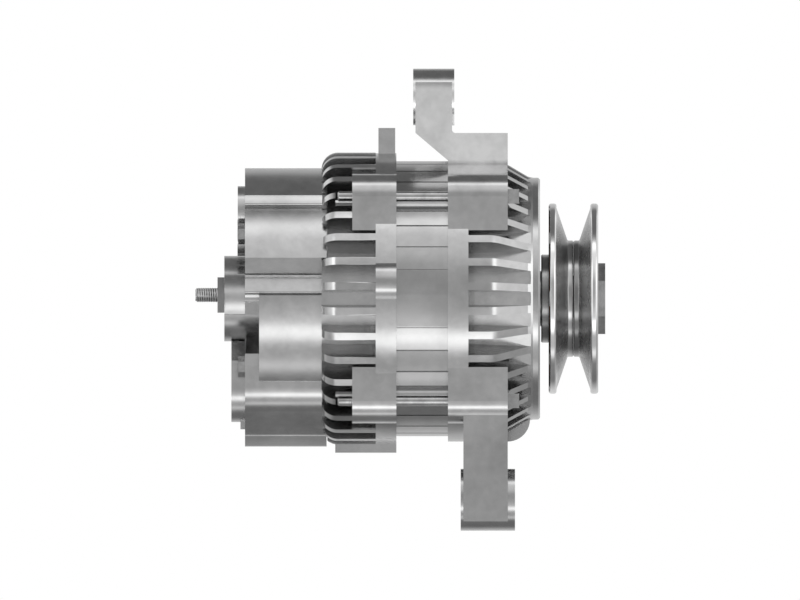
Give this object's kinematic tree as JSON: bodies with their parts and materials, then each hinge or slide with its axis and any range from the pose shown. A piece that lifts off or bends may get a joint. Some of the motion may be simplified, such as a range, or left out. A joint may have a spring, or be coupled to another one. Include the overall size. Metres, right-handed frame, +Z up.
{
  "type": "claw-pole alternator",
  "caption": "Finned aluminium claw-pole alternator with a V-belt pulley, adjusting ear, pivot foot and rear stud.",
  "frame": {"origin": "on the shaft axis, in the middle plane of the belt groove", "axes": "+X along the shaft toward the pulley and its nut, +Z up toward the adjusting ear, the pivot foot is down and to the -Y side"},
  "size_m": [0.1803, 0.131, 0.2033],
  "materials": {
    "cast": "satin",
    "core_steel": "satin",
    "copper": "satin",
    "ring_bronze": "polished",
    "steel": "satin",
    "pole_iron": "matte",
    "pulley_steel": "polished",
    "moulding": "matte",
    "carbon": "matte"
  },
  "bodies": {
    "housing": {"drive_end_frame": "cast", "pivot_bush": "steel", "ear_insert": "steel", "slip_ring_end_frame": "cast", "stator_core": "core_steel", "stator_winding": "copper", "through_bolts": "steel", "front_bearing_outer_race": "steel", "rear_bearing_outer_race": "steel", "bearing_retainer": "steel", "retainer_screws": "steel", "rear_cover": "cast", "cover_screws": "steel", "regulator": "moulding", "regulator_screws": "steel", "brush_holder": "moulding", "inner_brush_spring": "steel", "outer_brush_spring": "steel", "negative_heat_sink": "cast", "positive_heat_sink": "cast", "negative_diodes": "steel", "positive_diodes": "steel", "rectifier_insulators": "moulding", "rectifier_screws": "steel", "phase_leads": "copper", "capacitor": "steel", "battery_stud": "steel", "stud_insulator": "moulding"},
    "rotor": {"rotor_shaft": "steel", "front_claw_pole": "pole_iron", "rear_claw_pole": "pole_iron", "coil_bobbin": "moulding", "field_coil": "copper", "slip_ring_sleeve": "moulding", "inner_slip_ring": "ring_bronze", "outer_slip_ring": "ring_bronze", "front_fan": "steel", "rear_fan": "steel", "front_bearing_inner_race": "steel", "rear_bearing_inner_race": "steel", "pulley_collar": "pulley_steel", "rear_pulley_half": "pulley_steel", "front_pulley_half": "pulley_steel", "lock_washer": "steel", "pulley_nut": "steel", "shaft_key": "steel"},
    "front_cage": {"front_bearing_balls": "steel", "front_bearing_cage": "ring_bronze"},
    "rear_cage": {"rear_bearing_balls": "steel", "rear_bearing_cage": "ring_bronze"},
    "inner_brush_slider": {"inner_brush": "carbon"},
    "outer_brush_slider": {"outer_brush": "carbon"}
  },
  "joints": [
    {"name": "rotor_spin", "type": "hinge", "parent": "housing", "child": "rotor", "pos_m": [0, 0, 0], "axis": [1, 0, 0], "continuous": true},
    {"name": "front_cage_spin", "type": "hinge", "parent": "housing", "child": "front_cage", "pos_m": [-0.0257, 0, 0], "axis": [1, 0, 0], "continuous": true},
    {"name": "rear_cage_spin", "type": "hinge", "parent": "housing", "child": "rear_cage", "pos_m": [-0.1028, 0, 0], "axis": [1, 0, 0], "continuous": true},
    {"name": "inner_brush_slide", "type": "slide", "parent": "housing", "child": "inner_brush_slider", "axis": [0, 0, -1], "range_m": [0, 0.003], "deforming": ["inner_brush_spring"]},
    {"name": "outer_brush_slide", "type": "slide", "parent": "housing", "child": "outer_brush_slider", "axis": [0, 0, -1], "range_m": [0, 0.003], "deforming": ["outer_brush_spring"]}
  ],
  "couplings": [
    {"joint": "front_cage_spin", "follows": "rotor_spin", "ratio": 0.36563},
    {"joint": "rear_cage_spin", "follows": "rotor_spin", "ratio": 0.38}
  ]
}
